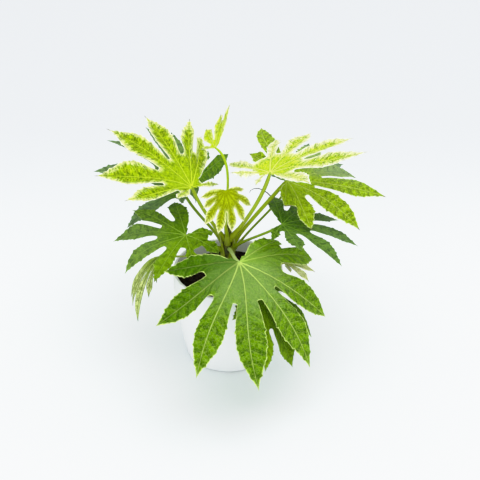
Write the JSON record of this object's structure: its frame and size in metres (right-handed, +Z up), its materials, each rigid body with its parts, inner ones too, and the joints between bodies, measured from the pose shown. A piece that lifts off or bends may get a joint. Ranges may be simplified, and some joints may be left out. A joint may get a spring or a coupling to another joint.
{
  "type": "potted fatsia plant",
  "caption": "Potted fatsia with deeply lobed, toothed palmate leaves, some green and some cream and lime variegated, on arching stalks from a short stem in a plain white tapered pot.",
  "frame": {"origin": "middle of the pot's flat foot, on the surface it stands on", "axes": "+Z up along the pot's axis; -Y towards the viewer, the side over which the largest leaf hangs; +X to the viewer's right"},
  "size_m": [0.3412, 0.3488, 0.2993],
  "materials": {
    "glaze": "smooth white glaze, soft gloss",
    "peat": "crumbly, matte, moist",
    "stem_bark": "green bark with leaf scars, satin",
    "green_leaf": "glossy mid green with pale lime veins and a thin pale edge",
    "dark_leaf": "glossy dark green",
    "fresh_leaf": "bright green with fine yellow speckles",
    "variegated_leaf": "lime and yellow with green mottling and cream edges",
    "young_leaf": "soft pale yellow green, satin"
  },
  "bodies": {
    "root": {"pot": "glaze", "soil": "peat", "stem": "stem_bark", "leaf_front": "green_leaf", "leaf_front_lower": "dark_leaf", "leaf_left": "dark_leaf", "leaf_left_young": "young_leaf", "leaf_top_left": "variegated_leaf", "leaf_back_left": "dark_leaf", "leaf_top_young": "young_leaf", "leaf_centre_young": "young_leaf", "leaf_top_right": "variegated_leaf", "leaf_right": "fresh_leaf", "leaf_right_lower": "dark_leaf", "leaf_right_young": "young_leaf", "leaf_back_right": "dark_leaf"}
  },
  "joints": []
}
